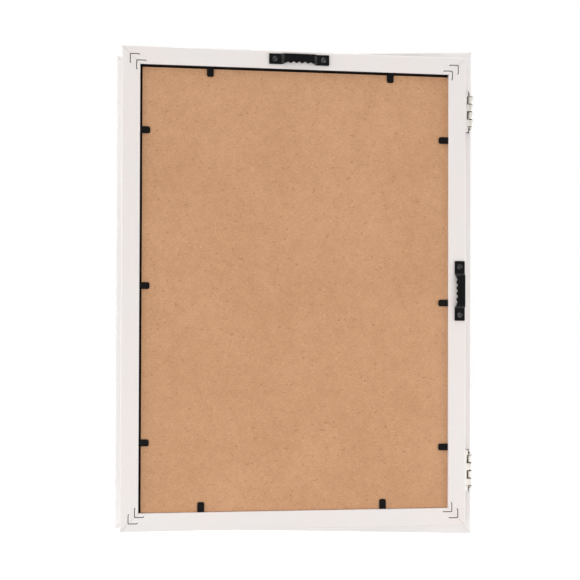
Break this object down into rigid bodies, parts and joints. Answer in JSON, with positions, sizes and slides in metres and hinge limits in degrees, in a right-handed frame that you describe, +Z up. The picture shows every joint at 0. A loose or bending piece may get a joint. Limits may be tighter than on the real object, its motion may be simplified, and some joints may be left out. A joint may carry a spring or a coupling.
{
  "type": "hinged photo frame",
  "caption": "Wall-hung white photo frame: a shallow backed box with a larger glazed front frame hinged to one side and drawn ajar.",
  "frame": {"origin": "the point where the wall's nail carries the top sawtooth hanger's middle notch, on the plane of the box's back", "axes": "+Z up along the height, +Y towards the wall, +X along the width from the hinges to the free side; the glazed front faces -Y"},
  "size_m": [0.3546, 0.0945, 0.48],
  "materials": {
    "white_lacquer": "satin white lacquer",
    "fibreboard": "raw fibreboard",
    "black_card": "matte black",
    "photo_paper": "satin, blank",
    "clear_sheet": "clear",
    "black_spring_steel": "black",
    "dark_steel": "dark, zinc and black",
    "nickel": "nickel plated",
    "magnet": "nickel plated magnet"
  },
  "bodies": {
    "box": {"backing_card": "black_card", "backing_panel": "fibreboard", "box_rail_bottom": "white_lacquer", "box_rail_free": "white_lacquer", "box_rail_hinge": "white_lacquer", "box_rail_top": "white_lacquer", "catch_magnet": "magnet", "flexible_point_bottom_1": "black_spring_steel", "flexible_point_bottom_2": "black_spring_steel", "flexible_point_free_1": "black_spring_steel", "flexible_point_free_2": "black_spring_steel", "flexible_point_free_3": "black_spring_steel", "flexible_point_hinge_1": "black_spring_steel", "flexible_point_hinge_2": "black_spring_steel", "flexible_point_hinge_3": "black_spring_steel", "flexible_point_top_1": "black_spring_steel", "flexible_point_top_2": "black_spring_steel", "hanger_side": "dark_steel", "hanger_side_nail_1": "dark_steel", "hanger_side_nail_2": "dark_steel", "hanger_top": "dark_steel", "hanger_top_nail_1": "dark_steel", "hanger_top_nail_2": "dark_steel", "hinge_lower_box_leaf": "nickel", "hinge_lower_box_screw_1": "nickel", "hinge_lower_box_screw_2": "nickel", "hinge_lower_pin": "nickel", "hinge_upper_box_leaf": "nickel", "hinge_upper_box_screw_1": "nickel", "hinge_upper_box_screw_2": "nickel", "hinge_upper_pin": "nickel", "photo_sheet": "photo_paper", "v_nail_bottom_free_inner": "dark_steel", "v_nail_bottom_free_outer": "dark_steel", "v_nail_bottom_hinge_inner": "dark_steel", "v_nail_bottom_hinge_outer": "dark_steel", "v_nail_top_free_inner": "dark_steel", "v_nail_top_free_outer": "dark_steel", "v_nail_top_hinge_inner": "dark_steel", "v_nail_top_hinge_outer": "dark_steel"},
    "door": {"catch_plate": "dark_steel", "door_rail_bottom": "white_lacquer", "door_rail_free": "white_lacquer", "door_rail_hinge": "white_lacquer", "door_rail_top": "white_lacquer", "door_v_nail_bottom_free": "dark_steel", "door_v_nail_bottom_hinge": "dark_steel", "door_v_nail_top_free": "dark_steel", "door_v_nail_top_hinge": "dark_steel", "glazing": "clear_sheet", "glazing_point_bottom": "black_spring_steel", "glazing_point_free": "black_spring_steel", "glazing_point_hinge": "black_spring_steel", "glazing_point_top": "black_spring_steel", "hinge_lower_door_leaf": "nickel", "hinge_lower_door_screw_1": "nickel", "hinge_lower_door_screw_2": "nickel", "hinge_upper_door_leaf": "nickel", "hinge_upper_door_screw_1": "nickel", "hinge_upper_door_screw_2": "nickel"}
  },
  "joints": [
    {"name": "door_swing", "type": "hinge", "parent": "box", "child": "door", "pos_m": [-0.1762, -0.0203, -0.2173], "axis": [0, 0, -1], "range_deg": [-9, 171]}
  ]
}
